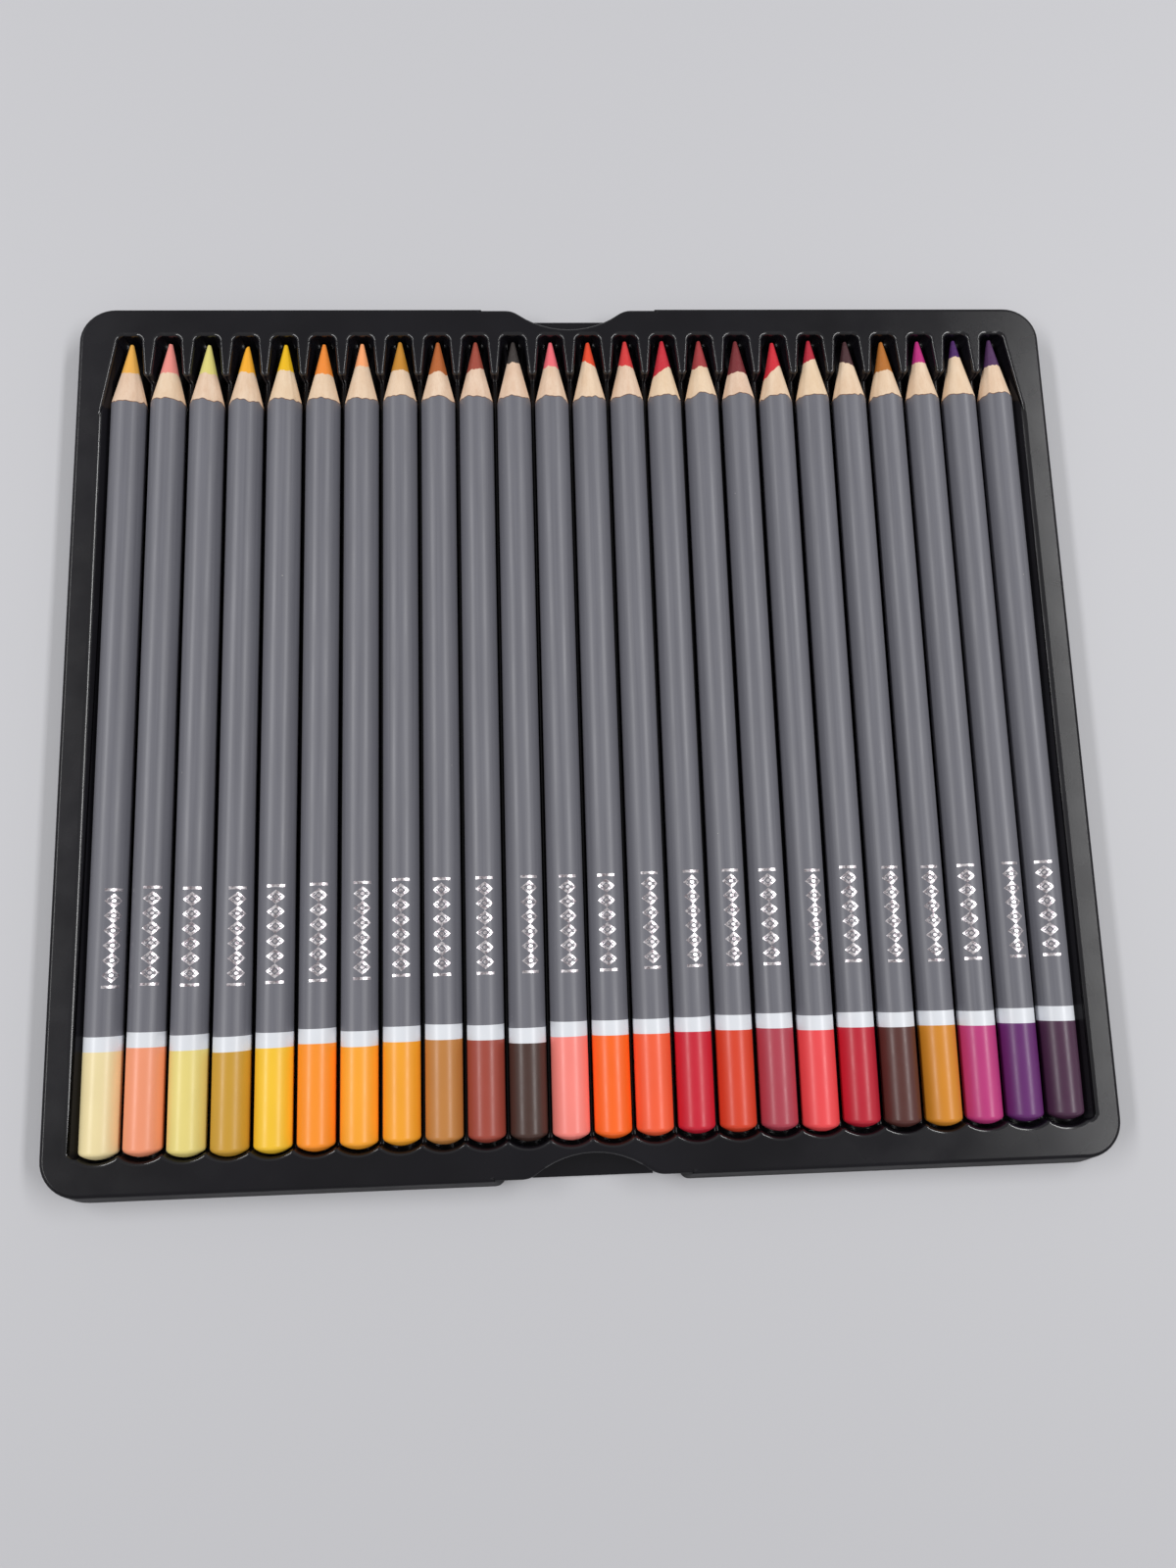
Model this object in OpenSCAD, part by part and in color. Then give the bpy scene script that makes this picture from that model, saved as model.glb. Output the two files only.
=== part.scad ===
// A formed plastic tray with a row of round colouring pencils lying in it.
// +X runs across the row, +Y towards the points, +Z up. The tray stands on z = 0.

/* [Pencils] */
// Number of pencils in the row
pencil_count = 24; // [6:1:24]
// Outer diameter of a pencil
pencil_d = 7.7; // [7:0.1:8.2]
// Length of a pencil, from its point to its dipped end
pencil_len = 177; // [120:1:185]
// Length of the sharpened cone
cone_len = 15.3; // [12:0.1:20]
// Diameter of the pigment core
core_d = 4.1; // [2.8:0.1:4.6]
// Radius of the blunt point
point_r = 0.5; // [0.3:0.05:0.8]
// Glue line between the core and the wood
glue_gap = 0.05; // [0.03:0.01:0.1]
// Crown radius of the dipped end
crown_r = 6; // [5:0.1:12]
// Radius of the rounded edge of the dipped end
knuckle_r = 1; // [0.5:0.1:1.8]
// Wood left behind the core at the dipped end
end_plug = 3; // [2:0.1:6]

/* [Bed] */
// Free gap between neighbouring pencils
pencil_gap = 0.9; // [0.8:0.1:2]
// Clearance between a pencil and its groove
groove_gap = 0.25; // [0.2:0.05:0.35]
// Free play in front of the points
point_play = 0.7; // [0.5:0.1:2]
// Free play behind the dipped ends
end_play = 0.8; // [0.8:0.1:3]
// Radius of the scallop behind each dipped end
scallop_r = 7; // [5.2:0.1:8]
// Inside radius of the crests between the grooves
crest_inner_r = 0.2; // [0.1:0.05:0.3]
// Inside radius of the upright folds, at the tongues and between the scallops
fold_inner_r = 0.35; // [0.35:0.05:0.5]
// Width that the side walls lean out by, up to the rim
side_lean = 1.6; // [0.8:0.1:3]
// Radius of the bed's two corners behind the dipped ends
bed_corner_r = 2; // [0.5:0.1:2]

/* [Point pockets] */
// Distance between the centres of a pocket's two corner arcs
pocket_w = 2.5; // [1.5:0.1:3.2]
// Corner radius of a pocket
pocket_r = 1.4; // [1:0.1:1.6]
// Length of the tongues between the pockets
tongue_len = 9.6; // [7:0.1:12]
// Length of the slanted wall beside the two outer points
slant_len = 18; // [12:0.5:20]
// Radius of the bend from the slanted wall to the side wall
slant_r = 8; // [2:0.5:8]

/* [Rim and skirt] */
// Thickness of the formed sheet
sheet_t = 0.6; // [0.4:0.1:0.6]
// Height of the rim above the pencils' axes
rim_above_axis = 2.2; // [1.5:0.1:3.5]
// Clearance under the groove bottoms
foot_gap = 0.2; // [0.1:0.1:1]
// Width of the rim along the two sides
side_rim = 5.1; // [3.5:0.1:10]
// Width of the rim at the two ends
end_rim = 6.4; // [6.2:0.1:12]
// Corner radius of the rim
corner_r = 7.5; // [6:0.5:14]
// Distance that the skirt flares out by, from the rim to its foot
skirt_flare = 2.2; // [1:0.1:4]
// Radius of the rounded lip between the rim and its walls
lip_r = 1; // [0.8:0.1:1.3]

/* [Thumb notches] */
// Depth of a notch into the rim
notch_depth = 4.7; // [3:0.1:4.7]
// Steepest angle of a notch's outline to the rim's edge
notch_angle = 36; // [25:1:45]
// Radius of a notch's rounded shoulders
notch_shoulder_r = 5; // [3:0.5:6]
// Length of the straight wall from a notch's shoulder to the skirt
notch_setback = 3.5; // [3:0.5:10]
// Distance that the shelf in a notch stands out from the rim's edge
shelf_reach = 0.7; // [0.3:0.1:1.5]
// Distance from the end of that shelf to the end of the notch
shelf_setback = 2; // [1.5:0.1:4]

/* [Hidden] */
$fn = 64;

pencil_r = pencil_d / 2;
core_r = core_d / 2;
bore_r = core_r + glue_gap;
pitch = pencil_d + pencil_gap;
groove_r = pencil_r + groove_gap;
function pencil_x(i) = (i - (pencil_count - 1) / 2) * pitch;
last = pencil_count - 1;

// How far each pencil has slid along its groove, from the left
slid = [-0.3, 0, -0.4, -0.6, -0.4, -0.3, -0.2, 0.2, 0.1, 0.1, 0.1, 0,
        0, 0.2, 0.3, 0.3, 0.2, -0.2, 0.3, 0, -0.1, 0, 0.2, 0.3];

// Cone: a straight line from the barrel, tangent to the blunt point
cone_z = pencil_len - cone_len;
point_z = pencil_len - point_r;
cone_angle = atan(pencil_r / (cone_len - point_r))
    - asin(point_r / norm([pencil_r, cone_len - point_r]));
function cone_at(r) = cone_z + (pencil_r - r) / tan(cone_angle);

// Dipped end: a crown arc tangent to a knuckle arc
knuckle_x = pencil_r - knuckle_r;
knuckle_z = crown_r - sqrt(pow(crown_r - knuckle_r, 2) - pow(knuckle_x, 2));
crown_edge = knuckle_x * crown_r / (crown_r - knuckle_r);

// Heights
axis_z = foot_gap + sheet_t + groove_r;
rim_z = axis_z + rim_above_axis;

// Crest between two grooves: an arc tangent to both groove arcs
crest_r = sheet_t + crest_inner_r;
crest_drop = sqrt(pow(groove_r + crest_r, 2) - pow(pitch / 2, 2));
crest_z = axis_z - crest_drop;

// Arcs that blend two walls swell by this much, so that each crosses its neighbours cleanly
blend = 0.05;
side_bite = 2 * blend;

// Bed, in plan
outer_x = pencil_x(last);
side_x = outer_x + groove_r + side_lean;
bed_len = pencil_len + point_play + end_play;
back_y = -bed_len / 2;
front_y = bed_len / 2;
butt_y = back_y + end_play;

// Peak between two scallops: an arc tangent to both scallop arcs
fold_r = sheet_t + fold_inner_r;
scallop_y = back_y + scallop_r;
peak_drop = sqrt(pow(scallop_r + fold_r, 2) - pow(pitch / 2, 2));
peak_y = scallop_y - peak_drop;

// Pocket walls: each touches a pocket's corner arc on one side and a tongue's or bend's arc
// on the other. Places are measured from the pencil's own x.
pocket_arc = [pocket_w / 2, front_y - pocket_r];
tongue_arc = [pitch / 2, front_y - tongue_len + fold_r];
bend_arc = [side_x - outer_x + slant_r - side_bite, front_y - slant_len];
function along(a) = [cos(a), sin(a)];
function mirrored(points) =
    [for (k = [len(points) - 1 : -1 : 0]) [-points[k].x, points[k].y]];
function on_side(side, points) = side > 0 ? points : mirrored(points);
function wall_normal(from, to, radii) =
    along(atan2(to.y - from.y, to.x - from.x) + acos(radii / norm(to - from)));
tongue_normal = wall_normal(pocket_arc, tongue_arc, pocket_r + fold_r);
bend_normal = wall_normal(pocket_arc, bend_arc, pocket_r + slant_r);

// Rim
rim_x = side_x + side_rim;
rim_y = front_y + end_rim;
corner = [rim_x - corner_r, rim_y - corner_r];
strip_w = lip_r + sheet_t;
lip_steps = 6;

// Thumb notch: a wide arc tangent to two shoulder arcs, which are tangent to the rim's edge
notch_span = notch_depth / (1 - cos(notch_angle));
notch_half_w = notch_span * sin(notch_angle);
notch_r = notch_span - notch_shoulder_r;
notch_y = rim_y + notch_r - notch_depth;
shoulder_y = rim_y - notch_shoulder_r;
skirt_end = notch_half_w + notch_setback + skirt_flare;

function label(i) = str("pencil_", i < 9 ? "0" : "", i + 1);
function casing_name(i) = str(label(i), "_casing");
function core_name(i) = str(label(i), "_core");

pigments = ["#F0B250", "#E88078", "#E0DC7C", "#F4A226", "#F2BE10", "#F28020",
            "#FF9F62", "#C8892C", "#B8642F", "#A24A3A", "#3A3436", "#F0607A",
            "#E84A28", "#D93A3A", "#CC2C3A", "#A63A3C", "#7A2C30", "#D42A38",
            "#B82438", "#4A2C30", "#B8702C", "#BC2A7C", "#4C2264", "#52305C"];

// ---- Rim, lip and skirt ----

// Bent sheet seen end on: a strip of rim, a rounded lip and a wall that leans out by flare.
// The wall meets the rim's plane at u = 0. The outside is at +u, or at -u for side -1.
module bent_sheet(flare, side = 1) {
    difference() {
        bent_outline(flare, 0, side);
        bent_outline(flare, sheet_t, side);
    }
}

// All that lies under the bent sheet, with its face moved in by depth
module bent_outline(flare, depth, side) {
    lean = atan(flare / rim_z);
    lip = [-lip_r * (1 - sin(lean)) / cos(lean), rim_z - lip_r];
    polygon(on_side(side, [
        [-strip_w, 0],
        [flare - depth / cos(lean), 0],
        for (step = [0 : lip_steps])
            lip + (lip_r - depth) * along(lean + (90 - lean) * step / lip_steps),
        [-strip_w, rim_z - depth]
    ]));
}

// A straight run of bent sheet from a to b, with the outside on its left
module sheet_run(a, b, flare) {
    translate(a)
        rotate([0, 0, atan2(b.y - a.y, b.x - a.x)])
            rotate([90, 0, 90])
                linear_extrude(norm(b - a)) bent_sheet(flare);
}

// A turn of bent sheet about centre, from angle a to angle b, with the outside away from it
module sheet_turn(centre, r, a, b, flare) {
    translate(centre) rotate([0, 0, a])
        rotate_extrude(angle = b - a) translate([r, 0]) bent_sheet(flare);
}

// The same turn with the outside towards the centre
module sheet_hollow(centre, r, a, b) {
    translate(centre) rotate([0, 0, a])
        rotate_extrude(angle = b - a) translate([r, 0]) bent_sheet(0, -1);
}

// The rounded end of the skirt, where it closes onto the straight wall
module skirt_cap(pivot, a, b) {
    translate(pivot) rotate([0, 0, a])
        rotate_extrude(angle = b - a) intersection() {
            bent_sheet(skirt_flare);
            square([2 * skirt_flare, rim_z]);
        }
}

// A quarter of the walls: half of one notch, the rest of that end, a corner and half a side
module rim_quarter() {
    sheet_hollow([0, notch_y], notch_r, 270 - notch_angle, 270);
    sheet_turn([-notch_half_w, shoulder_y], notch_shoulder_r, 90 - notch_angle, 90, 0);
    sheet_run([-skirt_end, rim_y], [-notch_half_w, rim_y], 0);
    skirt_cap([-skirt_end, rim_y], 0, 90);
    sheet_run([-corner.x, rim_y], [-skirt_end, rim_y], skirt_flare);
    sheet_turn([-corner.x, corner.y], corner_r, 90, 180, skirt_flare);
    sheet_run([-rim_x, 0], [-rim_x, corner.y], skirt_flare);
}

// Plan of the hollow of a notch, grown by depth into the tray
module notch_plan(depth) {
    tangent_y = notch_y - (notch_r + depth) * cos(notch_angle);
    difference() {
        union() {
            translate([0, notch_y]) circle(r = notch_r + depth);
            translate([-notch_half_w, tangent_y]) square(2 * [notch_half_w, notch_depth]);
        }
        for (side = [-1, 1])
            translate([side * notch_half_w, shoulder_y]) circle(r = notch_shoulder_r - depth);
    }
}

// The flat of the rim. It ends halfway over the strips that the lips bring.
module rim_plate() {
    inset = lip_r + sheet_t / 2;
    translate([0, 0, rim_z - sheet_t]) linear_extrude(sheet_t) difference() {
        union() {
            square(2 * [corner.x, rim_y - inset], center = true);
            square(2 * [rim_x - inset, corner.y], center = true);
            for (x = [-1, 1], y = [-1, 1])
                translate([x * corner.x, y * corner.y]) circle(r = corner_r - inset);
        }
        for (turn = [0, 180]) rotate(turn) notch_plan(inset - blend);
    }
}

// The shelf at the foot of a notch, which stands out a little from the rim's edge
module notch_shelf() {
    shelf_w = 2 * (notch_half_w - shelf_setback);
    linear_extrude(sheet_t) intersection() {
        notch_plan(sheet_t / 2);
        translate([-shelf_w / 2, rim_y - notch_depth - sheet_t])
            square([shelf_w, notch_depth + sheet_t + shelf_reach]);
    }
}

// ---- Bed of grooves and pockets ----

// The bed end on: grooves, crests and leaning sides. It is grown by depth on every side.
module bed_section(depth, top) {
    crest_level = crest_z + (crest_r - depth) * crest_drop / (groove_r + crest_r);
    side_wall = [side_lean, rim_above_axis] / rim_above_axis;
    right_side = [
        [outer_x, crest_level],
        [side_x + depth, rim_z] - (rim_above_axis + crest_r) * side_wall,
        [side_x + depth, rim_z] + (top - rim_z) * side_wall
    ];
    difference() {
        union() {
            for (i = [0 : last])
                translate([pencil_x(i), axis_z]) circle(r = groove_r + depth);
            polygon(concat(right_side, mirrored(right_side)));
        }
        for (i = [0 : last - 1])
            translate([pencil_x(i) + pitch / 2, crest_z]) circle(r = crest_r + blend - depth);
    }
}

// The bed from above: scallops at the back, pockets and tongues at the front. The barrels'
// stretch is wider than the section, which cuts it to the side walls.
module bed_plan(depth) {
    peak_step = peak_drop / (scallop_r + fold_r);
    peak_level = peak_y + (fold_r - depth) * peak_step;
    corner_arc = [side_x + side_bite - bed_corner_r, peak_y + fold_r * peak_step + bed_corner_r];
    mouth_y = tongue_arc.y - (fold_r - depth) * tongue_normal.y;
    wide_x = corner_arc.x + bed_corner_r + depth;
    difference() {
        union() {
            translate([-corner_arc.x, peak_level])
                square([2 * corner_arc.x, bend_arc.y - peak_level]);
            translate([-wide_x, corner_arc.y]) square([2 * wide_x, bend_arc.y - corner_arc.y]);
            translate([-outer_x, corner_arc.y]) square([2 * outer_x, mouth_y - corner_arc.y]);
            for (side = [-1, 1]) {
                translate([side * corner_arc.x, corner_arc.y])
                    circle(r = bed_corner_r + depth + blend);
                translate([side * outer_x, 0]) slanted_side(depth, side);
            }
            for (i = [0 : last]) translate([pencil_x(i), 0]) {
                translate([0, scallop_y]) circle(r = scallop_r + depth);
                pocket_plan(depth);
            }
        }
        for (i = [0 : last - 1]) translate([pencil_x(i) + pitch / 2, 0]) {
            translate([0, peak_y]) circle(r = fold_r + blend - depth);
            translate([0, tongue_arc.y]) circle(r = fold_r + blend - depth);
        }
        for (side = [-1, 1])
            translate([side * (outer_x + bend_arc.x), bend_arc.y])
                circle(r = slant_r + blend - depth);
    }
}

// The pocket round one point
module pocket_plan(depth) {
    right_side = [
        tongue_arc - (fold_r - depth) * tongue_normal,
        pocket_arc + (pocket_r + depth) * tongue_normal,
        [pocket_arc.x, front_y + depth]
    ];
    polygon(concat(right_side, mirrored(right_side)));
    for (side = [-1, 1])
        translate([side * pocket_arc.x, pocket_arc.y]) circle(r = pocket_r + blend + depth);
}

// The wider hollow beside an outer point, out to the slanted wall
module slanted_side(depth, side) {
    polygon(on_side(side, [
        [0, bend_arc.y - slant_r],
        [bend_arc.x, bend_arc.y - slant_r],
        [bend_arc.x, bend_arc.y],
        bend_arc - (slant_r - depth) * bend_normal,
        pocket_arc + (pocket_r + depth) * bend_normal,
        [pocket_arc.x, front_y + depth],
        [0, front_y + depth]
    ]));
}

// The hollow of the bed, or with a depth the solid that leaves a sheet round it
module bed(depth, top) {
    intersection() {
        linear_extrude(top) bed_plan(depth);
        translate([0, rim_y, 0])
            rotate([90, 0, 0]) linear_extrude(2 * rim_y) bed_section(depth, top);
    }
}

module tray() {
    color("#2D2A2B") difference() {
        union() {
            rim_plate();
            for (x = [0, 1], y = [0, 1]) mirror([x, 0, 0]) mirror([0, y, 0]) rim_quarter();
            for (turn = [0, 180]) rotate(turn) notch_shelf();
            bed(sheet_t, rim_z);
        }
        bed(0, rim_z + lip_r);
    }
}

// ---- Pencils ----

// Lays a pencil's turned profile in its groove, point towards +Y
module in_groove(i) {
    translate([pencil_x(i), butt_y + slid[i], axis_z])
        rotate([-90, 0, 0]) rotate_extrude() children();
}

// The painted wood: a domed dipped end, the barrel and the cut cone, bored for the core
module casing(i) {
    color("#6A6D75") in_groove(i) difference() {
        union() {
            intersection() {
                translate([0, crown_r]) circle(r = crown_r);
                square([crown_edge, knuckle_z]);
            }
            translate([knuckle_x, knuckle_z]) circle(r = knuckle_r);
            polygon([
                [0, knuckle_z],
                [pencil_r, knuckle_z],
                [pencil_r, cone_z],
                [bore_r, cone_at(bore_r)],
                [0, cone_at(bore_r)]
            ]);
        }
        translate([0, end_plug]) square([bore_r, pencil_len]);
    }
}

// The pigment core, from the plug of wood to the blunt point
module core(i) {
    color(pigments[i]) in_groove(i) {
        polygon([
            [0, end_plug + glue_gap],
            [core_r, end_plug + glue_gap],
            [core_r, cone_at(core_r)],
            [0, point_z] + point_r * along(cone_angle),
            [0, point_z]
        ]);
        intersection() {
            translate([0, point_z]) circle(r = point_r);
            square([point_r, pencil_len]);
        }
    }
}

tray();
for (i = [0 : last]) {
    casing(i);
    core(i);
}
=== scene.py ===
import math
import bmesh
import bpy
from mathutils import Matrix, Vector, noise


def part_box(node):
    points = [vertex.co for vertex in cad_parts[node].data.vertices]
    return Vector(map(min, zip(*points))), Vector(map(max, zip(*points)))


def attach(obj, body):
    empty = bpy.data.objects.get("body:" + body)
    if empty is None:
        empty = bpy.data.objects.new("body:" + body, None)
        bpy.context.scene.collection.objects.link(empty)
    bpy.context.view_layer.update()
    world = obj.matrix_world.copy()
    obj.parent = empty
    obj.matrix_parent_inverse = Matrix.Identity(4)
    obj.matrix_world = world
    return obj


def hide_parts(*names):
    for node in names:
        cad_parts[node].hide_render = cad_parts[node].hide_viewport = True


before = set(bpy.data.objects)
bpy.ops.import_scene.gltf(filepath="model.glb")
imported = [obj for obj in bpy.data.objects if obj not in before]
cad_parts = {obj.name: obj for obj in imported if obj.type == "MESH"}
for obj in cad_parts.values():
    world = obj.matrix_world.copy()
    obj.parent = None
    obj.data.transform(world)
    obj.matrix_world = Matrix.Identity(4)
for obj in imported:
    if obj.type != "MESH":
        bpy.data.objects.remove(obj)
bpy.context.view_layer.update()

# ---- Tray ----
# One 0.6 mm sheet of black polystyrene, heated, drawn over a mould by vacuum and trimmed.
# The bends that face up come out round and shiny, and the flats keep a soft satin skin.
MM = 0.001
BEND_REACH = 0.7 * MM  # how far the rounding of a bend runs into the faces beside it
SHARP_BEND = math.radians(30)
SKIRT_REACH = 4.5 * MM  # the skirt lies within this of the outside of the tray
DOUBLE_GAP = 0.002 * MM
FLAT, BEND, SKIRT = range(3)


def linear(hex_colour):
    """Turns an sRGB hex colour to the linear RGBA that a socket takes."""
    parts = [int(hex_colour[k:k + 2], 16) / 255 for k in (1, 3, 5)]
    return tuple(c / 12.92 if c <= 0.04045 else ((c + 0.055) / 1.055) ** 2.4
                 for c in parts) + (1.0,)


def add_node(tree, kind, inputs=None, stops=(), **settings):
    """Adds one node with its settings, its ramp's stops, and its sockets' values or links."""
    made = tree.nodes.new(kind)
    for name, value in settings.items():
        setattr(made, name, value)
    if stops:
        ramp = made.color_ramp.elements
        ramp.remove(ramp[-1])
        for place, shade in stops[1:]:
            ramp.new(place).color = shade
        ramp[0].position, ramp[0].color = stops[0]
    for name, value in (inputs or {}).items():
        if isinstance(value, bpy.types.NodeSocket):
            tree.links.new(value, made.inputs[name])
        else:
            made.inputs[name].default_value = value
    return made


def new_material(name, **sockets):
    """A material with these values on its shader, and the tree, shader and point to build on."""
    material = bpy.data.materials.new(name)
    material.use_nodes = True
    tree = material.node_tree
    shader = tree.nodes["Principled BSDF"]
    for socket, value in sockets.items():
        shader.inputs[socket.replace("_", " ")].default_value = value
    point = add_node(tree, "ShaderNodeTexCoord").outputs["Object"]
    return material, tree, shader, point


def grain(tree, point, size, detail=2.0, stretch=1.0):
    """Noise with features of this size in mm, drawn out along Y by stretch."""
    scaled = add_node(tree, "ShaderNodeMapping",
                      {"Vector": point, "Scale": (1 / (size * MM), 1 / (size * MM * stretch),
                                                  1 / (size * MM))})
    return add_node(tree, "ShaderNodeTexNoise",
                    {"Vector": scaled.outputs["Vector"], "Scale": 1.0,
                     "Detail": detail}).outputs["Fac"]


def specks(tree, point, spacing, radius, share):
    """A mask of round specks: radius in mm, one cell in so many (share) holds one."""
    cells = add_node(tree, "ShaderNodeTexVoronoi",
                     {"Vector": point, "Scale": 1 / (spacing * MM)})
    near = add_node(tree, "ShaderNodeMath",
                    {0: cells.outputs["Distance"], 1: radius / spacing},
                    operation="LESS_THAN").outputs[0]
    hue = add_node(tree, "ShaderNodeSeparateColor", {"Color": cells.outputs["Color"]})
    chosen = add_node(tree, "ShaderNodeMath", {0: hue.outputs["Red"], 1: share},
                      operation="LESS_THAN").outputs[0]
    return add_node(tree, "ShaderNodeMath", {0: near, 1: chosen},
                    operation="MULTIPLY").outputs[0]


def formed_polystyrene(name, roughness, specular):
    """High-impact polystyrene sheet, vacuum formed: satin black, with the slow ripple of a
    sheet that was drawn hot, the mould's fine grain, and a little pale dust. It is glossy
    where it was stretched over an edge, and dull where it rubbed on the mould's side."""
    material, tree, shader, point = new_material(name, IOR=1.5, Specular_IOR_Level=specular)
    cloudy = add_node(tree, "ShaderNodeValToRGB", {"Fac": grain(tree, point, 25.0)},
                      ((0.3, linear("#100F13")), (0.7, linear("#17161B")))).outputs["Color"]
    dust = specks(tree, point, 5.0, 0.09, 0.22)
    colour = add_node(tree, "ShaderNodeMix", {0: dust, 6: cloudy, 7: linear("#8E8A84")},
                      data_type="RGBA").outputs[2]
    satin = add_node(tree, "ShaderNodeMapRange",
                     {"Value": grain(tree, point, 9.0, detail=4.0), "From Min": 0.3,
                      "From Max": 0.7, "To Min": roughness,
                      "To Max": roughness + 0.08}).outputs["Result"]
    ripple = add_node(tree, "ShaderNodeBump", {"Height": grain(tree, point, 16.0, detail=1.0),
                                               "Distance": 0.05 * MM}).outputs["Normal"]
    skin = add_node(tree, "ShaderNodeBump", {"Height": grain(tree, point, 0.5),
                                             "Distance": 0.0015 * MM, "Normal": ripple})
    tree.links.new(colour, shader.inputs["Base Color"])
    tree.links.new(satin, shader.inputs["Roughness"])
    tree.links.new(skin.outputs["Normal"], shader.inputs["Normal"])
    return material


def finished_mesh(name, bm, materials, crisp):
    """Makes a bmesh an object at the origin, smooth but for edges sharper than crisp degrees."""
    mesh = bpy.data.meshes.new(name)
    bm.to_mesh(mesh)
    bm.free()
    for material in materials:
        mesh.materials.append(material)
    mesh.shade_smooth()
    mesh.set_sharp_from_angle(angle=math.radians(crisp))
    piece = bpy.data.objects.new(name, mesh)
    bpy.context.scene.collection.objects.link(piece)
    return piece


bm = bmesh.new()
bm.from_mesh(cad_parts["tray"].data)
bmesh.ops.remove_doubles(bm, verts=bm.verts, dist=DOUBLE_GAP)
bmesh.ops.dissolve_limit(bm, angle_limit=math.radians(0.3), verts=bm.verts,
                         edges=bm.edges, use_dissolve_boundaries=False)
for face in bm.faces:
    face.material_index = FLAT
rim_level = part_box("tray")[1].z - 0.05 * MM
upper_bends = [edge for edge in bm.edges if edge.is_convex
               and min(vert.co.z for vert in edge.verts) > rim_level
               and edge.calc_face_angle(0) > SHARP_BEND]
bends = bmesh.ops.bevel(bm, geom=upper_bends, offset=BEND_REACH, offset_type="OFFSET",
                        segments=4, profile=0.5, affect="EDGES", material=-1,
                        clamp_overlap=False)
for face in bends["faces"]:
    face.material_index = BEND
half_x, half_y = (side - SKIRT_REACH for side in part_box("tray")[1][:2])
for face in bm.faces:
    middle = face.calc_center_median()
    outside = abs(middle.x) > half_x or abs(middle.y) > half_y
    if outside and face.normal.z < 0.9 and face.material_index == FLAT:
        face.material_index = SKIRT
tray = finished_mesh("formed_tray", bm, [
    formed_polystyrene("formed_black_polystyrene", 0.22, 0.28),
    formed_polystyrene("stretched_black_polystyrene", 0.14, 0.6),
    formed_polystyrene("rubbed_black_polystyrene", 0.5, 0.15)], 38)
# The wide flats carry the shading, so the rounded bends don't cast a false sheen on them.
flatten = tray.modifiers.new("flats_lead", "WEIGHTED_NORMAL")
flatten.weight, flatten.keep_sharp = 100, True
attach(tray, "tray")
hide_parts("tray")

# ---- Pencils ----
# Round pencils of light wood, lacquered slate grey on a brown primer, with a white ring and a
# dipped end in the colour of the core. Each one was cut by a machine, so the edge of the paint
# and the edge of the core wander a little round the cone.
# Shade of the dip and of the core, share of the cone that is core (on its left and on its
# right), far edge of the ring from the butt in mm, turn of the stamp from the top in degrees.
PENCILS = [
    ("#EFDDA8", "#F0B250", 0.535, 0.535, 24.2, 34),
    ("#F59A74", "#EE9086", 0.560, 0.560, 24.5, 21),
    ("#EBD982", "#E2D67E", 0.555, 0.555, 24.1, 12),
    ("#CC9C35", "#FAB02A", 0.520, 0.520, 23.7, 22),
    ("#FBC832", "#F2BE10", 0.505, 0.505, 24.0, 9),
    ("#FF9628", "#F48E34", 0.575, 0.575, 24.4, 11),
    ("#FFA92E", "#FFAA72", 0.445, 0.445, 23.5, 16),
    ("#F9A62A", "#C8892C", 0.550, 0.550, 23.7, 5),
    ("#C08040", "#B8642F", 0.575, 0.575, 24.0, 1),
    ("#A2483A", "#A24A3A", 0.560, 0.500, 23.6, 6),
    ("#48322C", "#3C3634", 0.420, 0.420, 22.7, 17),
    ("#FD8A80", "#F26E78", 0.480, 0.480, 23.8, 8),
    ("#FF6A1E", "#E84A28", 0.370, 0.470, 23.8, -1),
    ("#F8613A", "#D93A3A", 0.460, 0.510, 23.6, 8),
    ("#CC2036", "#CC2C3A", 0.640, 0.500, 23.6, 12),
    ("#DC4428", "#A63A3C", 0.530, 0.530, 23.7, 7),
    ("#B04050", "#7A2C30", 0.615, 0.615, 23.9, -5),
    ("#F04C50", "#D42A38", 0.650, 0.470, 23.6, 12),
    ("#BE2034", "#B82438", 0.430, 0.380, 23.4, -4),
    ("#57302C", "#4A2C30", 0.400, 0.480, 23.5, 2),
    ("#D68A28", "#B8702C", 0.570, 0.570, 23.6, 1),
    ("#BE3A7C", "#BC2A7C", 0.430, 0.430, 23.2, -10),
    ("#64286C", "#4C2264", 0.350, 0.350, 23.2, 6),
    ("#4A2A44", "#52305C", 0.510, 0.510, 23.3, -14),
]
# Points that are worn or chipped, by place in the row from 0: length lost in mm, and rise of the
# chipped face to the right
WORN = {1: (0.3, 0.0), 3: (0.55, 0.75), 6: (0.15, -0.2), 12: (0.2, 0.3), 17: (0.2, -0.3)}
LEAST_WEAR = (0.06, 0.0)
STEPS = 96
RING_WIDTH = 3.05
COAT = 0.015  # each of lacquer, ring and dip stands this far above the one before it
COAT_SLOPE = 0.06  # length of the step from one coat down to the next
CROWN_R, KNUCKLE_R = 6.0, 1.0
POINT_R = 0.45
CONE_LEN = 15.3
OVERSHOOT = 0.9  # the cone would come to its tip this far beyond the blunt point
GLUE = 0.03
FLANK = 0.8  # the two shares of a core hold this far out from its middle, as part of its radius
PRIMER_SHARE = 0.012  # of the cone's length that the cut edge of the paint takes
BORE_R = 1.2
PLUG = 4.0  # wood between the butt and the end of the bore
SIDES_FROM = (-8.3 * MM, 230 * MM)  # left and right of a core are as seen from here (x, z)
LACQUER, RING, DIP, PRIMER, WOOD = range(5)


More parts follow.
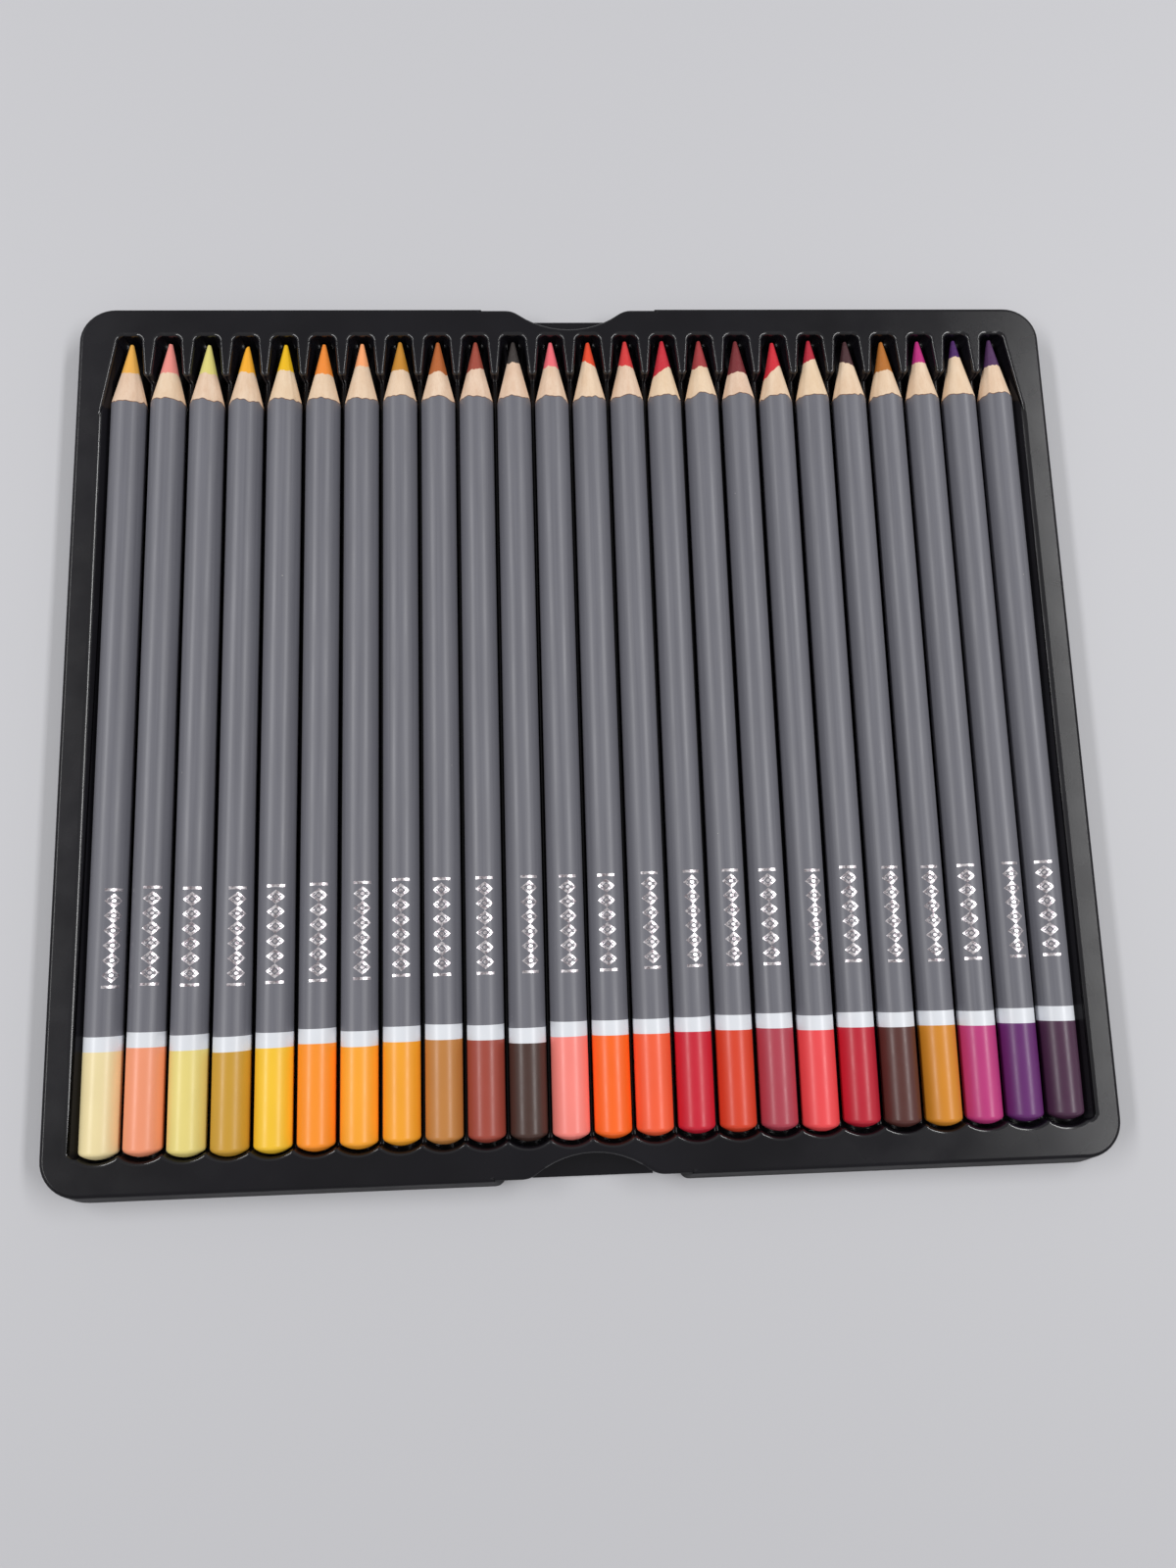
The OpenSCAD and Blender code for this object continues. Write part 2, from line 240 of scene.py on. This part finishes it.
def slate_lacquer():
    """Nitrocellulose lacquer in slate grey: several thin drawn coats, so it is satin, faintly
    streaked along the barrel, with a few pale specks of dust and wood."""
    material, tree, shader, point = new_material("slate_lacquer", IOR=1.5)
    streak = grain(tree, point, 0.6, detail=3.0, stretch=60.0)
    base = add_node(tree, "ShaderNodeValToRGB", {"Fac": streak},
                    ((0.3, linear("#67676F")), (0.7, linear("#707078")))).outputs["Color"]
    dust = specks(tree, point, 4.0, 0.09, 0.1)
    colour = add_node(tree, "ShaderNodeMix", {0: dust, 6: base, 7: linear("#C9C6BE")},
                      data_type="RGBA").outputs[2]
    satin = add_node(tree, "ShaderNodeMapRange",
                     {"Value": grain(tree, point, 2.0, detail=3.0, stretch=8.0),
                      "From Min": 0.3, "From Max": 0.7, "To Min": 0.36, "To Max": 0.46})
    drawn = add_node(tree, "ShaderNodeBump", {"Height": streak, "Distance": 0.002 * MM})
    skin = add_node(tree, "ShaderNodeBump", {"Height": grain(tree, point, 0.25),
                                             "Distance": 0.0008 * MM,
                                             "Normal": drawn.outputs["Normal"]})
    tree.links.new(colour, shader.inputs["Base Color"])
    tree.links.new(satin.outputs["Result"], shader.inputs["Roughness"])
    tree.links.new(skin.outputs["Normal"], shader.inputs["Normal"])
    return material


def enamel(name, shade, dark, roughness):
    """Dipping enamel: thick, opaque and glossy, with the faint sag of paint that ran."""
    material, tree, shader, point = new_material(name, IOR=1.5)
    sag = grain(tree, point, 4.0, detail=1.0, stretch=2.5)
    depth = add_node(tree, "ShaderNodeMapRange",
                     {"Value": sag, "From Min": 0.35, "From Max": 0.7, "To Max": dark})
    colour = add_node(tree, "ShaderNodeMix",
                      {0: depth.outputs["Result"], 6: linear(shade), 7: linear("#3A2A22")},
                      data_type="RGBA").outputs[2]
    gloss = add_node(tree, "ShaderNodeMapRange",
                     {"Value": grain(tree, point, 2.5, detail=1.0), "From Min": 0.3,
                      "From Max": 0.7, "To Min": roughness, "To Max": roughness + 0.06})
    skin = add_node(tree, "ShaderNodeBump", {"Height": sag, "Distance": 0.03 * MM})
    tree.links.new(colour, shader.inputs["Base Color"])
    tree.links.new(gloss.outputs["Result"], shader.inputs["Roughness"])
    tree.links.new(skin.outputs["Normal"], shader.inputs["Normal"])
    return material


def cut_primer():
    """The cut edge of the primer and lacquer: thin, dull and brown."""
    material, tree, shader, point = new_material("cut_primer", Roughness=0.6, IOR=1.45)
    colour = add_node(tree, "ShaderNodeValToRGB", {"Fac": grain(tree, point, 0.4)},
                      ((0.3, linear("#8A5A3C")), (0.7, linear("#5C4A42")))).outputs["Color"]
    tree.links.new(colour, shader.inputs["Base Color"])
    return material


def cut_basswood():
    """Basswood, planed and cut: pale, with fine lengthwise pores about 0.2 mm apart, slow
    colour bands, and another tint on each pencil."""
    material, tree, shader, point = new_material("cut_basswood", IOR=1.45)
    pores = grain(tree, point, 0.22, detail=3.0, stretch=22.0)
    bands = grain(tree, point, 1.6, detail=2.0, stretch=9.0)
    soft = add_node(tree, "ShaderNodeValToRGB", {"Fac": bands},
                    ((0.3, linear("#EED3BC")), (0.7, linear("#E1C0A6")))).outputs["Color"]
    open_pore = add_node(tree, "ShaderNodeMapRange",
                         {"Value": pores, "From Min": 0.5, "From Max": 0.78, "To Max": 0.35})
    fine = add_node(tree, "ShaderNodeMix",
                    {0: open_pore.outputs["Result"], 6: soft, 7: linear("#C89C7C")},
                    data_type="RGBA").outputs[2]
    apart = add_node(tree, "ShaderNodeSeparateXYZ", {"Vector": point}).outputs["X"]
    count = add_node(tree, "ShaderNodeMath", {0: apart, 1: PITCH * MM}, operation="DIVIDE")
    whole = add_node(tree, "ShaderNodeMath", {0: count.outputs[0]}, operation="FLOOR")
    chance = add_node(tree, "ShaderNodeTexWhiteNoise", {"W": whole.outputs[0]},
                      noise_dimensions="1D").outputs["Value"]
    share = add_node(tree, "ShaderNodeMath", {0: chance, 1: 0.35}, operation="MULTIPLY")
    tint = add_node(tree, "ShaderNodeMix",
                    {0: share.outputs[0], 6: fine, 7: linear("#F3DEB0")},
                    data_type="RGBA").outputs[2]
    skin = add_node(tree, "ShaderNodeBump", {"Height": pores, "Distance": 0.01 * MM})
    shader.inputs["Roughness"].default_value = 0.6
    tree.links.new(tint, shader.inputs["Base Color"])
    tree.links.new(skin.outputs["Normal"], shader.inputs["Normal"])
    return material


def pigment_core(name, shade):
    """Wax and pigment core, cut to a cone: matt, a little waxy, with the cutter's fine rings
    0.2 mm apart and crumbs that broke out."""
    material, tree, shader, point = new_material(name, IOR=1.45, Roughness=0.5)
    crumbs = grain(tree, point, 0.45, detail=4.0)
    pale = add_node(tree, "ShaderNodeMapRange",
                    {"Value": crumbs, "From Min": 0.45, "From Max": 0.8, "To Max": 0.025})
    colour = add_node(tree, "ShaderNodeMix",
                      {0: pale.outputs["Result"], 6: linear(shade), 7: linear("#FFFFFF")},
                      data_type="RGBA").outputs[2]
    rings = add_node(tree, "ShaderNodeTexWave",
                     {"Vector": point, "Scale": 1 / (0.2 * MM) / 20, "Distortion": 1.5},
                     bands_direction="Y").outputs["Fac"]
    turned = add_node(tree, "ShaderNodeBump", {"Height": rings, "Distance": 0.006 * MM})
    skin = add_node(tree, "ShaderNodeBump", {"Height": crumbs, "Distance": 0.01 * MM,
                                             "Normal": turned.outputs["Normal"]})
    tree.links.new(colour, shader.inputs["Base Color"])
    tree.links.new(skin.outputs["Normal"], shader.inputs["Normal"])
    return material


def turned_solid(profile):
    """Spins a profile about the Y axis into a closed solid. Each point is (material, place):
    the material of the band that follows it, and (radius, along) in mm, or a function of the
    turn that gives the two, for an edge that isn't a true circle."""
    bm = bmesh.new()
    number = bm.verts.layers.int.new("number")
    chain = []
    for count, (material, place) in enumerate(profile):
        radius, along = place(0.0) if callable(place) else place
        chain.append(bm.verts.new((0, along, radius)))
        chain[-1][number] = count
    edges = [bm.edges.new(pair) for pair in zip(chain, chain[1:])]
    bmesh.ops.spin(bm, geom=chain + edges, cent=(0, 0, 0), axis=(0, 1, 0), dvec=(0, 0, 0),
                   angle=2 * math.pi, steps=STEPS, use_merge=True)
    bmesh.ops.remove_doubles(bm, verts=bm.verts, dist=0.0001)
    for vert in bm.verts:
        place = profile[vert[number]][1]
        if callable(place):
            turn = math.atan2(vert.co.x, vert.co.z)
            radius, along = place(turn)
            vert.co = (radius * math.sin(turn), along, radius * math.cos(turn))
    for face in bm.faces:
        face.material_index = profile[min(vert[number] for vert in face.verts)][0]
    bmesh.ops.recalc_face_normals(bm, faces=bm.faces)
    return bm


def wander(turn, seed, lobes):
    """A smooth random line round a circle, from about -0.5 to 0.5, with this many lobes."""
    reach = lobes / 4
    return noise.noise(Vector((reach * math.cos(turn), reach * math.sin(turn), 9.7 * seed)))


def arc(centre, radius, start, end, count):
    """Points (radius, along) on an arc, by the angle from the axis at the butt, in degrees."""
    turns = [math.radians(start + (end - start) * k / count) for k in range(count + 1)]
    return [(centre[0] + radius * math.sin(t), centre[1] - radius * math.cos(t))
            for t in turns]


first_low, first_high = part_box("pencil_01_casing")
second_low, second_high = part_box("pencil_02_casing")
PITCH = (second_low.x - first_low.x) / MM
BARREL_R = (first_high.x - first_low.x) / MM / 2
body_finishes = [slate_lacquer(), enamel("white_ring_enamel", "#E2E5EB", 0.05, 0.3), None,
                 cut_primer(), cut_basswood()]
barrel_r = BARREL_R - 2 * COAT
knuckle_x = BARREL_R - KNUCKLE_R
crown_turn = math.degrees(math.asin(knuckle_x / (CROWN_R - KNUCKLE_R)))
knuckle_y = CROWN_R - math.sqrt((CROWN_R - KNUCKLE_R) ** 2 - knuckle_x ** 2)
pencil_ends = []

for count, (dip_shade, core_shade, core_left, core_right, ring_end, _) in enumerate(PENCILS):
    label = f"pencil_{count + 1:02d}"
    low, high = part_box(label + "_casing")
    centre = Vector(((low.x + high.x) / 2, low.y, (low.z + high.z) / 2))
    length = (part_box(label + "_core")[1].y - low.y) / MM
    pencil_ends.append((label, centre))
    cone_start = length - CONE_LEN
    dip_end = ring_end - RING_WIDTH
    facing = math.atan2(SIDES_FROM[0] - centre.x, SIDES_FROM[1])

    # The uneven edge of the paint, a place on the cut cone, the uneven edge of the core, and a
    # dip's edge, which hangs a little askew
    def painted_to(turn):
        return cone_start + 0.6 * wander(turn, count, 6) + 0.35 * wander(turn, count + 50, 16)

    def on_cone(share, turn):
        edge = painted_to(turn)
        return (barrel_r * (1 - share), edge + share * (length + OVERSHOOT - edge))

    def core_edge(turn):
        side = math.sin(turn - facing)
        share = 1 - (core_left + core_right) / 2
        share -= side * (core_right - core_left) / 2 / FLANK
        share += 0.016 * wander(turn, count + 100, 7) + 0.008 * wander(turn, count + 150, 19)
        return on_cone(share, turn)

    def tilted(radius, along, seed):
        tilt = 0.05 * (1 + noise.noise(Vector((seed, count, 0.5))))
        lean = 9 * noise.noise(Vector((count, seed, 3.5)))
        return lambda turn: (radius, along + tilt * math.sin(turn - lean))

    profile = [(DIP, place) for place in
               arc((0, CROWN_R), CROWN_R, 0, crown_turn, 8)
               + arc((knuckle_x, knuckle_y), KNUCKLE_R, crown_turn, 90, 9)[1:]]
    profile += [(DIP, tilted(BARREL_R, dip_end - COAT_SLOPE, 1)),
                (RING, tilted(BARREL_R - COAT, dip_end, 1)),
                (RING, tilted(BARREL_R - COAT, ring_end - COAT_SLOPE, 2)),
                (LACQUER, tilted(barrel_r, ring_end, 2)),
                (LACQUER, (barrel_r, (ring_end + cone_start) / 2)),
                (PRIMER, lambda turn: on_cone(0, turn)),
                (WOOD, lambda turn: on_cone(PRIMER_SHARE, turn)),
                (WOOD, lambda turn: on_cone(0.15, turn)),
                (WOOD, core_edge),  # from here the wood turns in and runs down the bore
                (WOOD, lambda turn: (core_edge(turn)[0] - 0.25, core_edge(turn)[1] - 0.3)),
                (WOOD, (BORE_R, cone_start)),
                (WOOD, (BORE_R, PLUG)),
                (WOOD, (0, PLUG))]
    bm = turned_solid(profile)
    bmesh.ops.scale(bm, vec=(MM, MM, MM), verts=bm.verts)
    bmesh.ops.translate(bm, vec=centre, verts=bm.verts)
    finishes = list(body_finishes)
    finishes[DIP] = enamel(f"dip_enamel_{count + 1:02d}", dip_shade, 0.04, 0.32)
    casing = finished_mesh(label + "_body", bm, finishes, 12)
    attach(casing, label)
    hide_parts(label + "_casing")

    # The core is a rod the length of the bore, cut to the same cone and worn to a blunt point.
    point_turn = 90 - math.degrees(math.atan2(barrel_r, CONE_LEN + OVERSHOOT))
    point = arc((0, length - POINT_R), POINT_R, 180 - point_turn, 180, 10)
    profile = [(0, (0, PLUG + 0.05)), (0, (BORE_R - GLUE, PLUG + 0.05)),
               (0, (BORE_R - GLUE, cone_start + 0.2)),
               (0, lambda turn: (core_edge(turn)[0] - 0.25, core_edge(turn)[1] - 0.15)),
               (0, core_edge)]
    for part in (0.33, 0.67):
        profile.append((0, lambda turn, part=part: tuple(
            a + part * (b - a) for a, b in zip(core_edge(turn), point[0]))))
    profile += [(0, place) for place in point]
    bm = turned_solid(profile)
    lost, rise = WORN.get(count, LEAST_WEAR)
    for vert in bm.verts:
        vert.co.y = min(vert.co.y, length - lost + rise * vert.co.x)
    bmesh.ops.scale(bm, vec=(MM, MM, MM), verts=bm.verts)
    bmesh.ops.translate(bm, vec=centre, verts=bm.verts)
    core = finished_mesh(label + "_lead", bm,
                         [pigment_core(f"pigment_core_{count + 1:02d}", core_shade)], 12)
    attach(core, label)
    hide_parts(label + "_core")

# ---- Stamped bands ----
# Each barrel carries a plain ornament in metallic foil, pressed on with a hot die: a row of
# open lozenges with a dot in each, closed by a bar at both ends.
BAND_START, BAND_LEN, BAND_HEIGHT = 34.0, 19.6, 3.7
LOZENGES = 6
FOIL_LINE = 0.55
FOIL_SINK, FOIL_RISE = 0.01, 0.015


def stamped_foil():
    """Hot-stamping foil: a vacuum-coated film of aluminium with a dusky tint. It mirrors the
    lamps and looks dull purple-brown elsewhere, and the die leaves it faintly uneven."""
    material, tree, shader, point = new_material("stamped_foil", Metallic=1.0)
    uneven = grain(tree, point, 0.5, detail=3.0)
    colour = add_node(tree, "ShaderNodeValToRGB", {"Fac": uneven},
                      ((0.35, linear("#B3A5AC")), (0.6, linear("#F0EBEE")))).outputs["Color"]
    gloss = add_node(tree, "ShaderNodeMapRange",
                     {"Value": uneven, "From Min": 0.3, "From Max": 0.7, "To Min": 0.24,
                      "To Max": 0.4})
    skin = add_node(tree, "ShaderNodeBump", {"Height": uneven, "Distance": 0.007 * MM})
    tree.links.new(colour, shader.inputs["Base Color"])
    tree.links.new(gloss.outputs["Result"], shader.inputs["Roughness"])
    tree.links.new(skin.outputs["Normal"], shader.inputs["Normal"])
    return material


def flat_shape(bm, sides, along, length, height, line):
    """A flat shape with this many sides, centred at along: a ring of this line, or filled."""
    verts = bmesh.ops.create_circle(bm, cap_ends=True, segments=sides, radius=0.5)["verts"]
    bmesh.ops.scale(bm, vec=(height, length, 1), verts=verts)
    bmesh.ops.translate(bm, vec=(0, along, 0), verts=verts)
    face = verts[0].link_faces[0]
    if line:
        bmesh.ops.inset_region(bm, faces=[face], thickness=line, use_boundary=True,
                               use_even_offset=True)
        bmesh.ops.delete(bm, geom=[face], context="FACES_ONLY")


foil = stamped_foil()
step = BAND_LEN / (LOZENGES + 0.5)
for count, (label, centre) in enumerate(pencil_ends):
    bm = bmesh.new()
    for place in range(LOZENGES):
        middle = BAND_START + step * (place + 0.75)
        flat_shape(bm, 4, middle, step * 0.98, BAND_HEIGHT, FOIL_LINE)
        flat_shape(bm, 12, middle, 0.7, 0.9, 0)
    for along in (BAND_START, BAND_START + BAND_LEN):
        bar = bmesh.ops.create_grid(bm, x_segments=1, y_segments=1, size=0.5)["verts"]
        bmesh.ops.scale(bm, vec=(BAND_HEIGHT, FOIL_LINE, 1), verts=bar)
        bmesh.ops.translate(bm, vec=(0, along, 0), verts=bar)
    long_edges = [edge for edge in bm.edges if edge.calc_length() > 0.8]
    bmesh.ops.subdivide_edges(bm, edges=long_edges, cuts=7, use_grid_fill=True)
    bmesh.ops.recalc_face_normals(bm, faces=bm.faces)
    lifted = bmesh.ops.extrude_face_region(bm, geom=bm.faces[:], use_keep_orig=True)["geom"]
    bmesh.ops.translate(bm, vec=(0, 0, FOIL_SINK + FOIL_RISE),
                        verts=[part for part in lifted if isinstance(part, bmesh.types.BMVert)])
    start = math.radians(PENCILS[count][5])
    for vert in bm.verts:
        turn = start + vert.co.x / barrel_r
        radius = barrel_r - FOIL_SINK + vert.co.z
        vert.co = (radius * math.sin(turn), vert.co.y, radius * math.cos(turn))
    bmesh.ops.recalc_face_normals(bm, faces=bm.faces)
    bmesh.ops.scale(bm, vec=(MM, MM, MM), verts=bm.verts)
    bmesh.ops.translate(bm, vec=centre, verts=bm.verts)
    band = finished_mesh(label + "_foil_band", bm, [foil], 30)
    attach(band, label)

# ---- Floor, lamps and camera ----
# A plain pale table top under two long soft strip lamps, one to each side, in a pale room.
FLOOR_GREY = "#C5C5C9"
LAMP_ENERGY = 4.3
LAMP_Y, LAMP_HEIGHT = 0.12, 0.7
LAMP_WIDTH, LAMP_LEN = 0.11, 0.9
LAMP_SIDES = (-0.64, 0.54)
ROOM_STRENGTH = 0.365

bm = bmesh.new()
bmesh.ops.create_grid(bm, x_segments=1, y_segments=1, size=2.0)
material, tree, shader, point = new_material("pale_table_top", Roughness=0.6,
                                             Base_Color=linear(FLOOR_GREY))
floor = finished_mesh("table_top", bm, [material], 30)

scene = bpy.context.scene
world = bpy.data.worlds.new("pale_room")
world.use_nodes = True
scene.world = world
sky = world.node_tree.nodes["Background"]
sky.inputs["Color"].default_value = linear("#FFFFFF")
sky.inputs["Strength"].default_value = ROOM_STRENGTH

for x in LAMP_SIDES:
    lamp = bpy.data.lights.new("strip_lamp", "AREA")
    lamp.shape = "RECTANGLE"
    lamp.size, lamp.size_y = LAMP_WIDTH, LAMP_LEN
    lamp.energy = LAMP_ENERGY
    strip = bpy.data.objects.new("strip_lamp", lamp)
    scene.collection.objects.link(strip)
    away = Vector((x, 0, LAMP_HEIGHT)).normalized()
    along = Vector((0, 1, 0))
    aim = Matrix((along.cross(away), along, away)).transposed().to_4x4()
    strip.matrix_world = Matrix.Translation((x, LAMP_Y, LAMP_HEIGHT)) @ aim

lens = bpy.data.cameras.new("camera")
lens.lens, lens.sensor_width, lens.clip_start = 24.975, 36, 0.01
camera = bpy.data.objects.new("camera", lens)
scene.collection.objects.link(camera)
right = Vector((0.99850, -0.03066, 0.04544))
up = Vector((0.02278, 0.98605, 0.16490))
back = Vector((-0.04986, -0.16362, 0.98527))
turned = Matrix((right, up, back)).transposed().to_4x4()
camera.matrix_world = Matrix.Translation((-0.01041, -0.05325, 0.23598)) @ turned
scene.camera = camera
scene.view_settings.view_transform = "Standard"
